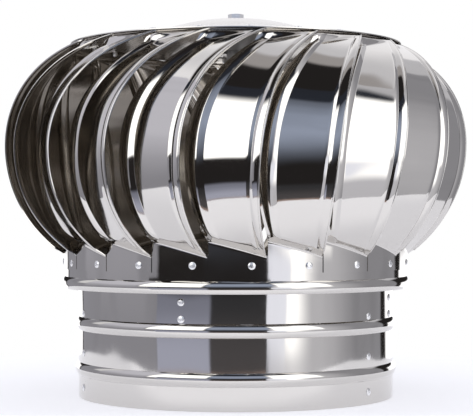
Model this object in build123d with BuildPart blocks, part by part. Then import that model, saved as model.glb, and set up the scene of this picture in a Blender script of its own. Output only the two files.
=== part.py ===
from build123d import *
from math import acos, asin, atan, cos, degrees, radians, sin
import os

os.makedirs("parts", exist_ok=True)

# Sizes in millimetres, angles in degrees. +Z is up, the neck stands on z = 0,
# and bearings round the axis are counted from the front (-Y) towards +X.

# Sheet and shared clearances
sheet = 0.8
seat_gap = 0.05
shaft_gap = 0.02
rivet_gap = 0.05
wall_gap = 0.1
drill_depth = 8.0

# Neck
neck_radius = 150.0
neck_top = 117.0
neck_bead_low = 27.5
neck_bead_high = 70.0
neck_bead_heights = (neck_bead_low, neck_bead_high)
neck_bead_width = 12.5
neck_bead_rise = 2.8
neck_inside = neck_radius - sheet

# Turning head: ring, envelope of the blades, crown
ring_clearance = 13.0
ring_overlap = 14.3
ring_height = 33.3
ring_radius = neck_radius + ring_clearance
ring_bottom = neck_top - ring_overlap
ring_top = ring_bottom + ring_height
ring_bead_width = 11.3
ring_bead_rise = 2.3
ring_inside = ring_radius - sheet

blade_count = 20
blade_pitch_angle = 360.0 / blade_count
first_blade_angle = 4.8
tab_left = 38.0
tab_right = 13.0
tab_drop = 15.0
tab_left_length = 27.0
tab_right_length = 13.0
tab_rivet_rise = 6.3
tab_bottom = ring_top - tab_drop
fold_left_height = tab_bottom + tab_left_length
fold_right_height = tab_bottom + tab_right_length
tab_rivet_height = tab_bottom + tab_rivet_rise

foot_stand_off = 0.9
blade_bulge = 56.1
rim_draw_in = 6.0
widest_rise = 103.0
rim_rise = 95.5
widest_height = fold_right_height + widest_rise
rim_height = widest_height + rim_rise
foot_radius = ring_radius + foot_stand_off
widest_radius = foot_radius + blade_bulge
rim_radius = ring_radius - rim_draw_in
least_lead_angle = 0.5
least_lead_place_angle = -19.8
rim_lead_angle = 23.0
rim_lead_share = 0.57
blade_span_angle = 18.7
inset_foot = 8.9
inset_widest = 25.0
inset_rim = 7.0
inset_power = 1.6

crease_share = 0.135
crease_dip_share = 0.065
crease_depth = 1.0
lip_crest_share = 0.06
lip_crest_rise = 0.2
lip_edge_drop = 0.35
flange_share = 0.2535
flange_crest_share = 0.148
flange_foot_share = 0.042
flange_rise = 2.4
flange_power = 1.5
flange_parts = (1.0, 0.5, 0.0)
face_points = 4
station_shares = (0.0, 0.08, 0.28, 0.5, 0.72, 0.92, 1.0)
rib_fade = station_shares[1]
foot_span_power = 4

tongue_gap = 0.1
tongue_inset = 8.0
tongue_length = 14.0
tongue_width = 20.0
tongue_lead_angle = 5.0
tongue_start = rim_radius - tongue_inset
tongue_end = tongue_start - tongue_length
crown_rivet_radius = (tongue_start + tongue_end) / 2

brim_overhang = 1.0
brim_lift = 1.4
brim_width = 82.0
brim_slope_angle = 8.1
crown_rise = 24.1
crown_flat_radius = 22.0
dome_middle_share = 0.537
dome_middle_drop_share = 0.388
crown_radius = rim_radius + brim_overhang
crown_rim_height = rim_height + brim_lift
crown_dome_radius = crown_radius - brim_width
crown_flat_height = crown_rim_height + crown_rise

# Rivets
rivet_shank = 1.6
rivet_head = 3.25
rivet_head_rise = 1.1
rivet_rim = 0.3
rivet_dimple = 0.9
rivet_crown_share = 0.7
rivet_crown_rise_share = 0.8
rivet_bulb = 2.3
rivet_bulb_length = 3.0
seam_angles = (-70.0, 53.0, 173.0)
seam_rivet_low = 11.5
seam_rivet_middle = 43.5
bracket_rivet_low_drop = 37.0
bracket_rivet_high_drop = 22.0
bracket_rivet_heights = (neck_top - bracket_rivet_low_drop, neck_top - bracket_rivet_high_drop)
seam_rivet_heights = (seam_rivet_low, seam_rivet_middle, neck_top - bracket_rivet_low_drop)
neck_arm_angle = -18.6

# Shaft, brackets and bearings
shaft_radius = 6.0
shaft_tail = 17.0
shaft_chamfer = 0.8
arm_count = 4
arm_tab_thickness = 2.0
arm_tab_half_angle = 5.0
neck_tab_drop = 15.0
neck_tab_height = 30.0
neck_hub_radius = 22.0
neck_hub_height = 20.0
neck_arm_height = 9.0
neck_arm_width = 4.0
neck_arm_rise = 11.0
neck_hub_rise = 5.0
neck_tab_top = neck_top - neck_tab_drop
neck_tab_bottom = neck_tab_top - neck_tab_height
neck_hub_bottom = neck_tab_bottom + neck_hub_rise
neck_hub_top = neck_hub_bottom + neck_hub_height
neck_arm_bottom = neck_tab_bottom + neck_arm_rise
neck_arm_top = neck_arm_bottom + neck_arm_height
head_arm_drop = 2.0
head_arm_height = 4.0
head_arm_width = 16.0
head_hub_radius = 21.0
head_hub_height = 15.5
head_arm_top = ring_top - head_arm_drop
head_arm_bottom = head_arm_top - head_arm_height
head_hub_top = head_arm_top
head_hub_bottom = head_hub_top - head_hub_height
head_tab_bottom = head_hub_bottom
bearing_outer = 16.0
bearing_width = 10.0
race_inner_shoulder = 10.0
race_outer_shoulder = 13.0
ball_pitch = 11.5
ball_radius = 2.95
groove_radius = 3.0
ball_count = 7
shoulder_thickness = 3.0
lower_bearing = head_hub_top - shoulder_thickness - bearing_width
sleeve_radius = 9.0
collar_radius = 11.0
collar_height = 10.0
grub_radius = 2.5
shoulder_hole = 13.0
cup_radius = 20.0
cup_height = 29.15
cup_roof = 5.15
cup_recess = 12.0
cup_shoulder_drop = 11.15
shaft_end_gap = 3.0
cup_top = crown_flat_height - sheet - seat_gap
cup_bottom = cup_top - cup_height
cup_recess_top = cup_top - cup_roof
upper_bearing = cup_top - cup_shoulder_drop - bearing_width
shaft_top = cup_recess_top - shaft_end_gap
shaft_bottom = neck_hub_bottom - shaft_tail
clip_thickness = 1.2
clip_groove = 17.2
clip_inside = 14.2
shaft_clip_radius = 8.8
stud_radius = 4.0
stud_height = 6.4
stud_top = crown_flat_height + stud_height
crown_nut_flats = 13.0
crown_nut_height = 4.6
crown_washer_radius = 9.0
washer_thickness = 1.3
shaft_nut_flats = 19.0
shaft_nut_height = 10.0
shaft_washer_radius = 12.0
shaft_washer_thickness = 2.0

tab_middle = ring_radius + seat_gap + sheet / 2
foot_lead_angle = degrees(atan(tab_right / tab_middle))
tab_left_angle = degrees(atan(tab_left / tab_middle))
lower_arc = ((widest_radius - foot_radius) ** 2 + (widest_height - fold_right_height) ** 2) / (
    2 * (widest_radius - foot_radius)
)
upper_arc = ((widest_radius - rim_radius) ** 2 + (rim_height - widest_height) ** 2) / (
    2 * (widest_radius - rim_radius)
)
foot_angle = -degrees(asin((widest_height - fold_right_height) / lower_arc))
foot_left_angle = -degrees(asin((widest_height - fold_left_height) / (lower_arc - inset_foot)))
rim_angle = degrees(asin((rim_height - widest_height) / upper_arc))


def around(radius, bearing, height):
    """Point at a bearing counted from the front."""
    turn = radians(bearing)
    return Vector(radius * sin(turn), -radius * cos(turn), height)


def outward(bearing):
    return around(1.0, bearing, 0.0)


def wall_plane(radius, bearing, height):
    """Plane on a wall, its normal pointing away from the axis and its y axis up."""
    level = Vector(cos(radians(bearing)), sin(radians(bearing)), 0.0)
    return Plane(around(radius, bearing, height), x_dir=level, z_dir=outward(bearing))


def ring_section(inner, outer, bottom, top):
    """Rectangle in the plane of revolution."""
    with BuildSketch() as section:
        with Locations(((inner + outer) / 2, (bottom + top) / 2)):
            Rectangle(outer - inner, top - bottom)
    return section.sketch


def beaded_section(radius, bottom, top, heights, width, rise):
    """Thin wall seen in section, with half-round beads that stand out."""
    half = width / 2
    with BuildSketch() as section:
        with BuildLine():
            at = bottom
            for middle in heights:
                if middle - half > at:
                    Line((radius, at), (radius, middle - half))
                ThreePointArc((radius, middle - half), (radius + rise, middle), (radius, middle + half))
                at = middle + half
            Line((radius, at), (radius, top))
            Line((radius, top), (radius - sheet, top))
            at = top
            for middle in reversed(heights):
                Line((radius - sheet, at), (radius - sheet, middle + half))
                ThreePointArc(
                    (radius - sheet, middle + half),
                    (radius + rise - sheet, middle),
                    (radius - sheet, middle - half),
                )
                at = middle - half
            if at > bottom:
                Line((radius - sheet, at), (radius - sheet, bottom))
            Line((radius - sheet, bottom), (radius, bottom))
        make_face()
    return section.sketch


def turned_ring(inner, outer, bottom, top):
    """Plain ring or sleeve about the axis."""
    with BuildPart() as ring:
        with BuildSketch(Plane.XY.offset(bottom)):
            Circle(outer)
            Circle(inner, mode=Mode.SUBTRACT)
        extrude(amount=top - bottom)
    return ring.part


def hex_nut(flats, hole, bottom, height):
    with BuildPart() as nut:
        with BuildSketch(Plane.XY.offset(bottom)):
            RegularPolygon(flats / 2, 6, major_radius=False)
            Circle(hole, mode=Mode.SUBTRACT)
        extrude(amount=height)
    return nut.part


def rivet_body(grip, bulb=True):
    """Rivet along +Z: the head's seat at z = 0, and below the grip a bulb or a flush end."""
    end = -grip - rivet_bulb_length if bulb else -grip
    tail = [(rivet_shank, 0), (rivet_shank, -grip)]
    if bulb:
        tail += [(rivet_bulb, -grip), (rivet_bulb, (end - grip) / 2), (rivet_shank, end)]
    with BuildPart() as rivet:
        with BuildSketch(Plane.XZ):
            with BuildLine():
                Line((0, rivet_head_rise / 2), (rivet_dimple, rivet_head_rise / 2))
                Line((rivet_dimple, rivet_head_rise / 2), (rivet_dimple, rivet_head_rise))
                ThreePointArc(
                    (rivet_dimple, rivet_head_rise),
                    (rivet_head * rivet_crown_share, rivet_head_rise * rivet_crown_rise_share),
                    (rivet_head, rivet_rim),
                )
                Polyline((rivet_head, rivet_rim), (rivet_head, 0), *tail)
                Polyline(tail[-1], (0, end), (0, rivet_head_rise / 2))
            make_face()
        revolve(axis=Axis.Z)
    return rivet.part


def cross_bracket(hub, bearings, arm, reach, tab):
    """Hub with radial bars that end in curved tabs; hub, arm and tab hold their sizes."""
    hub_radius, hub_bottom, hub_top = hub
    arm_width, arm_bottom, arm_top = arm
    tab_bottom_height, tab_top_height = tab
    with BuildPart() as bracket:
        with BuildSketch(Plane.XY.offset(hub_bottom)):
            Circle(hub_radius)
        extrude(amount=hub_top - hub_bottom)
        for bearing in bearings:
            along = Plane((0, 0, arm_bottom), x_dir=outward(bearing), z_dir=(0, 0, 1))
            arm_length = reach - arm_tab_thickness / 2
            with BuildSketch(along):
                with Locations((arm_length / 2, 0)):
                    Rectangle(arm_length, arm_width)
            extrude(amount=arm_top - arm_bottom)
            side = bearing - arm_tab_half_angle
            upright = Plane((0, 0, 0), x_dir=outward(side), z_dir=outward(side - 90))
            with BuildSketch(upright):
                add(ring_section(reach - arm_tab_thickness, reach, tab_bottom_height, tab_top_height))
            revolve(axis=Axis.Z, revolution_arc=2 * arm_tab_half_angle)
    return bracket.part


def bearing_of(index):
    return first_blade_angle + blade_pitch_angle * index


# Neck
seam_places = [(bearing, height) for bearing in seam_angles for height in seam_rivet_heights]
neck_arm_bearings = [neck_arm_angle + 360.0 / arm_count * i for i in range(arm_count)]
neck_bracket_places = [
    (bearing, height) for bearing in neck_arm_bearings for height in bracket_rivet_heights
]

with BuildPart() as neck_tube:
    with BuildSketch(Plane.XZ):
        add(beaded_section(
            neck_radius, 0.0, neck_top, neck_bead_heights, neck_bead_width, neck_bead_rise
        ))
    revolve(axis=Axis.Z)
    for bearing, height in seam_places + neck_bracket_places:
        with BuildSketch(wall_plane(neck_inside, bearing, height)):
            Circle(rivet_shank + rivet_gap)
        extrude(amount=drill_depth, both=True, mode=Mode.SUBTRACT)
neck_tube.part.label = "neck_tube"
export_step(neck_tube.part, "parts/neck_tube.step")

seam_rivet = rivet_body(sheet - seat_gap, bulb=False)
with BuildPart() as neck_seam_rivets:
    for bearing, height in seam_places:
        with Locations(wall_plane(neck_radius + shaft_gap, bearing, height).location):
            add(seam_rivet)
neck_seam_rivets.part.label = "neck_seam_rivets"
export_step(neck_seam_rivets.part, "parts/neck_seam_rivets.step")

# Cross bracket in the neck, with the fixed shaft
neck_arm_reach = neck_inside - wall_gap
with BuildPart() as neck_bracket:
    add(cross_bracket(
        (neck_hub_radius, neck_hub_bottom, neck_hub_top),
        neck_arm_bearings,
        (neck_arm_width, neck_arm_bottom, neck_arm_top),
        neck_arm_reach,
        (neck_tab_bottom, neck_tab_top),
    ))
    with BuildSketch(Plane.XY.offset(neck_hub_bottom)):
        Circle(shaft_radius + shaft_gap)
    extrude(amount=neck_hub_top - neck_hub_bottom, mode=Mode.SUBTRACT)
    for bearing, height in neck_bracket_places:
        with BuildSketch(wall_plane(neck_inside, bearing, height)):
            Circle(rivet_shank + rivet_gap)
        extrude(amount=-drill_depth, mode=Mode.SUBTRACT)
neck_bracket.part.label = "neck_bracket"
export_step(neck_bracket.part, "parts/neck_bracket.step")

bracket_rivet = rivet_body(sheet + 3 * wall_gap + arm_tab_thickness)
with BuildPart() as neck_bracket_rivets:
    for bearing, height in neck_bracket_places:
        with Locations(wall_plane(neck_radius + shaft_gap, bearing, height).location):
            add(bracket_rivet)
neck_bracket_rivets.part.label = "neck_bracket_rivets"
export_step(neck_bracket_rivets.part, "parts/neck_bracket_rivets.step")

with BuildPart() as shaft:
    with BuildSketch(Plane.XY.offset(shaft_bottom)):
        Circle(shaft_radius)
    extrude(amount=shaft_top - shaft_bottom)
    chamfer(shaft.edges().filter_by(GeomType.CIRCLE), length=shaft_chamfer)
shaft.part.label = "shaft"
export_step(shaft.part, "parts/shaft.step")

# Plain turned pieces on the fixed shaft
shaft_hole = shaft_radius + shaft_gap
lower_washer_top = neck_hub_bottom - seat_gap
lower_washer_bottom = lower_washer_top - shaft_washer_thickness
upper_washer_bottom = neck_hub_top + seat_gap
upper_washer_top = upper_washer_bottom + shaft_washer_thickness
sleeve_bottom = lower_bearing + bearing_width + seat_gap
sleeve_top = upper_bearing - seat_gap
shaft_clip_bottom = upper_bearing + bearing_width + seat_gap

with BuildPart() as shaft_lower_washer:
    add(turned_ring(shaft_hole, shaft_washer_radius, lower_washer_bottom, lower_washer_top))
shaft_lower_washer.part.label = "shaft_lower_washer"
export_step(shaft_lower_washer.part, "parts/shaft_lower_washer.step")

with BuildPart() as shaft_lower_nut:
    lower_nut_bottom = lower_washer_bottom - seat_gap - shaft_nut_height
    add(hex_nut(shaft_nut_flats, shaft_hole, lower_nut_bottom, shaft_nut_height))
shaft_lower_nut.part.label = "shaft_lower_nut"
export_step(shaft_lower_nut.part, "parts/shaft_lower_nut.step")

with BuildPart() as shaft_upper_washer:
    add(turned_ring(shaft_hole, shaft_washer_radius, upper_washer_bottom, upper_washer_top))
shaft_upper_washer.part.label = "shaft_upper_washer"
export_step(shaft_upper_washer.part, "parts/shaft_upper_washer.step")

with BuildPart() as shaft_upper_nut:
    add(hex_nut(shaft_nut_flats, shaft_hole, upper_washer_top + seat_gap, shaft_nut_height))
shaft_upper_nut.part.label = "shaft_upper_nut"
export_step(shaft_upper_nut.part, "parts/shaft_upper_nut.step")

collar_top = lower_bearing - seat_gap
collar_middle = collar_top - collar_height / 2
with BuildPart() as thrust_collar:
    add(turned_ring(shaft_hole, collar_radius, collar_top - collar_height, collar_top))
    with BuildSketch(wall_plane(0.0, neck_arm_angle, collar_middle)):
        Circle(grub_radius + rivet_gap)
    extrude(amount=collar_radius + drill_depth, mode=Mode.SUBTRACT)
thrust_collar.part.label = "thrust_collar"
export_step(thrust_collar.part, "parts/thrust_collar.step")

with BuildPart() as collar_screw:
    with BuildSketch(wall_plane(shaft_radius + seat_gap, neck_arm_angle, collar_middle)):
        Circle(grub_radius)
    extrude(amount=collar_radius - shaft_radius - seat_gap)
    with BuildSketch(wall_plane(collar_radius, neck_arm_angle, collar_middle)):
        RegularPolygon(grub_radius / 2, 6)
    extrude(amount=-grub_radius, mode=Mode.SUBTRACT)
collar_screw.part.label = "collar_screw"
export_step(collar_screw.part, "parts/collar_screw.step")

with BuildPart() as spacer_sleeve:
    add(turned_ring(shaft_hole, sleeve_radius, sleeve_bottom, sleeve_top))
spacer_sleeve.part.label = "spacer_sleeve"
export_step(spacer_sleeve.part, "parts/spacer_sleeve.step")

with BuildPart() as shaft_clip:
    add(turned_ring(shaft_hole, shaft_clip_radius, shaft_clip_bottom, shaft_clip_bottom + clip_thickness))
shaft_clip.part.label = "shaft_clip"
export_step(shaft_clip.part, "parts/shaft_clip.step")

# Ball bearings: grooved races and a set of balls
for place, bottom in (("lower", lower_bearing), ("upper", upper_bearing)):
    middle = bottom + bearing_width / 2
    for race, inner, outer in (
        ("inner", shaft_hole, race_inner_shoulder),
        ("outer", race_outer_shoulder, bearing_outer),
    ):
        with BuildPart() as bearing_race:
            add(turned_ring(inner, outer, bottom, bottom + bearing_width))
            with BuildSketch(Plane.XZ):
                with Locations((ball_pitch, middle)):
                    Circle(groove_radius)
            revolve(axis=Axis.Z, mode=Mode.SUBTRACT)
        bearing_race.part.label = f"{place}_bearing_{race}_race"
        export_step(bearing_race.part, f"parts/{place}_bearing_{race}_race.step")
    with BuildPart() as bearing_balls:
        with Locations((0, 0, middle)):
            with PolarLocations(ball_pitch, ball_count):
                Sphere(ball_radius)
    bearing_balls.part.label = f"{place}_bearing_balls"
    export_step(bearing_balls.part, f"parts/{place}_bearing_balls.step")

# Head ring and its cross bracket
tab_face = ring_radius + seat_gap + sheet
head_arm_step = blade_count // arm_count
head_arm_bearings = [bearing_of(i) for i in range(0, blade_count, head_arm_step)]
plain_bearings = [bearing_of(i) for i in range(blade_count) if i % head_arm_step]
ring_bead_middle = ring_bottom + ring_bead_width / 2

with BuildPart() as head_ring:
    with BuildSketch(Plane.XZ):
        add(beaded_section(
            ring_radius, ring_bottom, ring_top, (ring_bead_middle,), ring_bead_width, ring_bead_rise
        ))
    revolve(axis=Axis.Z)
    for bearing in head_arm_bearings + plain_bearings:
        with BuildSketch(wall_plane(ring_inside, bearing, tab_rivet_height)):
            Circle(rivet_shank + rivet_gap)
        extrude(amount=drill_depth, both=True, mode=Mode.SUBTRACT)
head_ring.part.label = "head_ring"
export_step(head_ring.part, "parts/head_ring.step")

head_arm_reach = ring_inside - wall_gap
with BuildPart() as head_bracket:
    add(cross_bracket(
        (head_hub_radius, head_hub_bottom, head_hub_top),
        head_arm_bearings,
        (head_arm_width, head_arm_bottom, head_arm_top),
        head_arm_reach,
        (head_tab_bottom, head_arm_top),
    ))
    with BuildSketch(Plane.XY.offset(head_hub_bottom)):
        Circle(bearing_outer + shaft_gap)
    extrude(
        amount=lower_bearing + bearing_width + shaft_gap - head_hub_bottom, mode=Mode.SUBTRACT
    )
    with BuildSketch(Plane.XY.offset(head_hub_bottom)):
        Circle(shoulder_hole)
    extrude(amount=head_hub_top - head_hub_bottom, mode=Mode.SUBTRACT)
    for bearing in head_arm_bearings:
        with BuildSketch(wall_plane(ring_inside, bearing, tab_rivet_height)):
            Circle(rivet_shank + rivet_gap)
        extrude(amount=-drill_depth, mode=Mode.SUBTRACT)
head_bracket.part.label = "head_bracket"
export_step(head_bracket.part, "parts/head_bracket.step")

blade_rivet = rivet_body(tab_face - ring_inside + wall_gap)
with BuildPart() as blade_rivets:
    for bearing in plain_bearings:
        with Locations(wall_plane(tab_face, bearing, tab_rivet_height).location):
            add(blade_rivet)
blade_rivets.part.label = "blade_rivets"
export_step(blade_rivets.part, "parts/blade_rivets.step")

head_arm_rivet = rivet_body(tab_face - head_arm_reach + arm_tab_thickness + wall_gap)
with BuildPart() as head_arm_rivets:
    for bearing in head_arm_bearings:
        with Locations(wall_plane(tab_face, bearing, tab_rivet_height).location):
            add(head_arm_rivet)
head_arm_rivets.part.label = "head_arm_rivets"
export_step(head_arm_rivets.part, "parts/head_arm_rivets.step")


# Blade: a flat tab at the foot, a bowed sheet with a rib along each edge, a tongue under the crown
def envelope(angle, inset):
    """Radius and height on the two arcs that the blades' free edges follow."""
    arc = upper_arc if angle > 0 else lower_arc
    reach = arc - inset
    turn = radians(angle)
    return widest_radius - arc + reach * cos(turn), widest_height + reach * sin(turn)


def lead(angle):
    """Bearing of the free edge, past that of the blade's rivet; least a little under the widest place."""
    turn = angle - least_lead_place_angle
    if turn < 0:
        return least_lead_angle + (foot_lead_angle - least_lead_angle) * (
            turn / (foot_angle - least_lead_place_angle)
        ) ** 2
    way = turn / (rim_angle - least_lead_place_angle)
    growth = rim_lead_share * way**2 + (1 - rim_lead_share) * way**4
    return least_lead_angle + (rim_lead_angle - least_lead_angle) * growth


def inset_at(angle):
    """How far the hidden edge lies inside the envelope."""
    end, end_inset = (rim_angle, inset_rim) if angle > 0 else (foot_left_angle, inset_foot)
    return inset_widest + (end_inset - inset_widest) * (angle / end) ** inset_power


def free_point(share):
    angle = foot_angle + share * (rim_angle - foot_angle)
    radius, height = envelope(angle, 0.0)
    return around(radius, lead(angle), height)


def hidden_point(share):
    angle = foot_left_angle + share * (rim_angle - foot_left_angle)
    radius, height = envelope(angle, inset_at(angle))
    foot_span = lead(foot_left_angle) + tab_left_angle
    span = blade_span_angle + (foot_span - blade_span_angle) * (1 - share) ** foot_span_power
    return around(radius, lead(angle) - span, height)


def across(start, end, travel):
    """Plane at start, x towards end, y out of the sheet, normal close to the travel."""
    level = (end - start).normalized()
    normal = (travel - level * travel.dot(level)).normalized()
    return Plane(start, x_dir=level, z_dir=normal)


def fade(share):
    """Rib height along the blade: nothing at the ends, full in between."""
    ease = min(share, 1 - share, rib_fade) / rib_fade
    return ease * ease * (3 - 2 * ease)


def sheet_line(chord, rib, lift):
    """Points across the sheet from the free edge: rounded lip, crease, face, raised flange."""
    face_start = crease_share + crease_dip_share
    face_end = 1 - flange_share
    profile = [
        (0.0, -lip_edge_drop),
        (lip_crest_share, lip_crest_rise),
        (crease_share, -crease_depth),
        (crease_share + crease_dip_share / 2, -crease_depth / 4),
        (face_start, 0.0),
    ]
    profile += [(face_start + (face_end - face_start) * i / face_points, 0.0) for i in range(1, face_points)]
    for part in flange_parts:
        rise = flange_rise * (1 - part**flange_power)
        profile.append((1 - flange_crest_share - part * (flange_share - flange_crest_share), rise))
    profile += [
        (1 - (flange_crest_share + flange_foot_share) / 2, flange_rise / 2),
        (1 - flange_foot_share, 0.0),
        (1.0, 0.0),
    ]
    return [(share * chord, lift + rib * height) for share, height in profile]


tab_plane = wall_plane(tab_middle, 0.0, 0.0)
tab_corners = [
    tab_plane.from_local_coords(Vector(*corner, 0.0))
    for corner in (
        (tab_right, tab_bottom),
        (-tab_left, tab_bottom),
        (tab_right, fold_right_height),
        (-tab_left, fold_left_height),
    )
]
tab_foot_right, tab_foot_left, fold_right, fold_left = tab_corners

stations = [(fold_right, fold_left)]
stations += [(free_point(share), hidden_point(share)) for share in station_shares[1:]]
middles = [(right + left) * 0.5 for right, left in stations]
fold_line = (fold_left - fold_right).normalized()
tab_up = (Vector(0, 0, 1) - fold_line * fold_line.Z).normalized()
first_rise = middles[1] - middles[0]
blade_up = (first_rise - fold_line * first_rise.dot(fold_line)).normalized()
fold_half = acos(tab_up.dot(blade_up)) / 2
fold_plane = across(fold_right, fold_left, tab_up + blade_up)

slope = radians(brim_slope_angle)
tongue_bearing = rim_lead_angle - tongue_lead_angle
tongue_up = outward(tongue_bearing) * -cos(slope) + Vector(0, 0, sin(slope))
tongue_level = Vector(cos(radians(tongue_bearing)), sin(radians(tongue_bearing)), 0.0)


def brim_underside(radius):
    return crown_rim_height - sheet / cos(slope) + (crown_radius - radius) * sin(slope) / cos(slope)


def tongue_plane(radius):
    """Plane across the tongue, its origin at the tongue's right edge."""
    height = brim_underside(radius) - tongue_gap - sheet / 2
    corner = around(radius, tongue_bearing, height) + tongue_level * (tongue_width / 2)
    return Plane(corner, x_dir=-tongue_level, z_dir=tongue_up)


blade_planes = [fold_plane]
for i in range(1, len(stations)):
    ahead = middles[min(i + 1, len(stations) - 1)] - middles[i - 1]
    blade_planes.append(across(*stations[i], ahead))

with BuildPart() as blade:
    chords = [(left - right).length for right, left in stations]
    foot_plane = across(tab_foot_right, tab_foot_left, Vector(0, 0, 1))
    fold_half_sheet = sheet / 2 / cos(fold_half)
    stretches = (
        [
            (foot_plane, tab_left + tab_right, 0.0, sheet / 2),
            (fold_plane, chords[0], 0.0, fold_half_sheet),
        ],
        [
            (
                blade_planes[i],
                chords[i],
                fade(share),
                sheet / 2 if i else fold_half_sheet,
            )
            for i, share in enumerate(station_shares)
        ],
        [
            (blade_planes[-1], chords[-1], 0.0, sheet / 2),
            (tongue_plane(tongue_start), tongue_width, 0.0, sheet / 2),
        ],
        [
            (tongue_plane(tongue_start), tongue_width, 0.0, sheet / 2),
            (tongue_plane(tongue_end), tongue_width, 0.0, sheet / 2),
        ],
    )
    for stretch in stretches:
        for plane, chord, rib, half in stretch:
            with BuildSketch(plane):
                with BuildLine():
                    outer_side = sheet_line(chord, rib, half)
                    inner_side = sheet_line(chord, rib, -half)
                    Spline(*outer_side)
                    Line(outer_side[-1], inner_side[-1])
                    Spline(*reversed(inner_side))
                    Line(inner_side[0], outer_side[0])
                make_face()
        loft(ruled=len(stretch) == 2)
    with BuildSketch(wall_plane(tab_middle, 0.0, tab_rivet_height)):
        Circle(rivet_shank + rivet_gap)
    extrude(amount=drill_depth, both=True, mode=Mode.SUBTRACT)
    crown_hole = around(crown_rivet_radius, tongue_bearing, brim_underside(crown_rivet_radius))
    with BuildSketch(Plane(crown_hole, x_dir=tongue_level, z_dir=tongue_level.cross(tongue_up) * -1)):
        Circle(rivet_shank + rivet_gap)
    extrude(amount=rivet_head, both=True, mode=Mode.SUBTRACT)

for i in range(blade_count):
    with BuildPart() as turned_blade:
        with Locations(Rotation(0, 0, bearing_of(i))):
            add(blade.part)
    turned_blade.part.label = f"blade_{i + 1:02d}"
    export_step(turned_blade.part, f"parts/blade_{i + 1:02d}.step")

# Crown with its rivets, bearing cup and nut
crown_bearings = [bearing_of(i) + tongue_bearing for i in range(blade_count)]
dome_rise = (crown_radius - crown_dome_radius) * sin(slope) / cos(slope)
dome_foot = (crown_dome_radius, crown_rim_height + dome_rise)
crown_dome_middle = (
    crown_flat_radius + dome_middle_share * (crown_dome_radius - crown_flat_radius),
    crown_flat_height - dome_middle_drop_share * (crown_flat_height - dome_foot[1]),
)


def brim_plane(bearing):
    """Plane on the brim's upper face where a rivet's head sits."""
    normal = outward(bearing) * sin(slope) + Vector(0, 0, cos(slope))
    level = Vector(cos(radians(bearing)), sin(radians(bearing)), 0.0)
    seat = around(crown_rivet_radius, bearing, brim_underside(crown_rivet_radius))
    return Plane(seat + normal * (sheet + seat_gap), x_dir=level, z_dir=normal)


with BuildPart() as crown:
    with BuildSketch(Plane.XZ):
        with BuildLine() as crown_line:
            Line((stud_radius + seat_gap, crown_flat_height), (crown_flat_radius, crown_flat_height))
            ThreePointArc((crown_flat_radius, crown_flat_height), crown_dome_middle, dome_foot)
            Line(dome_foot, (crown_radius, crown_rim_height))
            Line((crown_radius, crown_rim_height), (crown_radius, brim_underside(crown_radius)))
            Line(
                (crown_radius, brim_underside(crown_radius)),
                (crown_dome_radius, brim_underside(crown_dome_radius)),
            )
            ThreePointArc(
                (crown_dome_radius, brim_underside(crown_dome_radius)),
                (crown_dome_middle[0] - sheet * sin(slope), crown_dome_middle[1] - sheet),
                (crown_flat_radius, crown_flat_height - sheet),
            )
            Line(
                (crown_flat_radius, crown_flat_height - sheet),
                (stud_radius + seat_gap, crown_flat_height - sheet),
            )
            Line(
                (stud_radius + seat_gap, crown_flat_height - sheet),
                (stud_radius + seat_gap, crown_flat_height),
            )
        make_face()
    revolve(axis=Axis.Z)
    for bearing in crown_bearings:
        with BuildSketch(brim_plane(bearing)):
            Circle(rivet_shank + rivet_gap)
        extrude(amount=rivet_head, both=True, mode=Mode.SUBTRACT)
crown.part.label = "crown"
export_step(crown.part, "parts/crown.step")

crown_rivet = rivet_body(2 * sheet + tongue_gap + 2 * wall_gap)
with BuildPart() as crown_rivets:
    for bearing in crown_bearings:
        with Locations(brim_plane(bearing).location):
            add(crown_rivet)
crown_rivets.part.label = "crown_rivets"
export_step(crown_rivets.part, "parts/crown_rivets.step")

clip_bottom = upper_bearing - seat_gap - clip_thickness
with BuildPart() as bearing_cup:
    with BuildSketch(Plane.XY.offset(cup_bottom)):
        Circle(cup_radius)
    extrude(amount=cup_top - cup_bottom)
    with BuildSketch(Plane.XY.offset(cup_top)):
        Circle(stud_radius)
    extrude(amount=stud_top - cup_top)
    with BuildSketch(Plane.XY.offset(cup_bottom)):
        Circle(bearing_outer + shaft_gap)
    extrude(amount=upper_bearing + bearing_width + shaft_gap - cup_bottom, mode=Mode.SUBTRACT)
    with BuildSketch(Plane.XY.offset(cup_bottom)):
        Circle(cup_recess)
    extrude(amount=cup_recess_top - cup_bottom, mode=Mode.SUBTRACT)
    with BuildSketch(Plane.XY.offset(clip_bottom - seat_gap)):
        Circle(clip_groove)
    extrude(amount=clip_thickness + 2 * seat_gap, mode=Mode.SUBTRACT)
bearing_cup.part.label = "bearing_cup"
export_step(bearing_cup.part, "parts/bearing_cup.step")

with BuildPart() as cup_clip:
    add(turned_ring(clip_inside, clip_groove - seat_gap, clip_bottom, clip_bottom + clip_thickness))
cup_clip.part.label = "cup_clip"
export_step(cup_clip.part, "parts/cup_clip.step")

crown_washer_top = crown_flat_height + seat_gap + washer_thickness
with BuildPart() as crown_washer:
    add(turned_ring(
        stud_radius + seat_gap, crown_washer_radius, crown_flat_height + seat_gap, crown_washer_top
    ))
crown_washer.part.label = "crown_washer"
export_step(crown_washer.part, "parts/crown_washer.step")

with BuildPart() as crown_nut:
    add(hex_nut(
        crown_nut_flats, stud_radius + seat_gap, crown_washer_top + seat_gap, crown_nut_height
    ))
crown_nut.part.label = "crown_nut"
export_step(crown_nut.part, "parts/crown_nut.step")
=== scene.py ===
from math import asin, atan, cos, degrees, pi, radians, sin, tan

import bmesh
import bpy
from mathutils import Matrix, Vector


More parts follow.
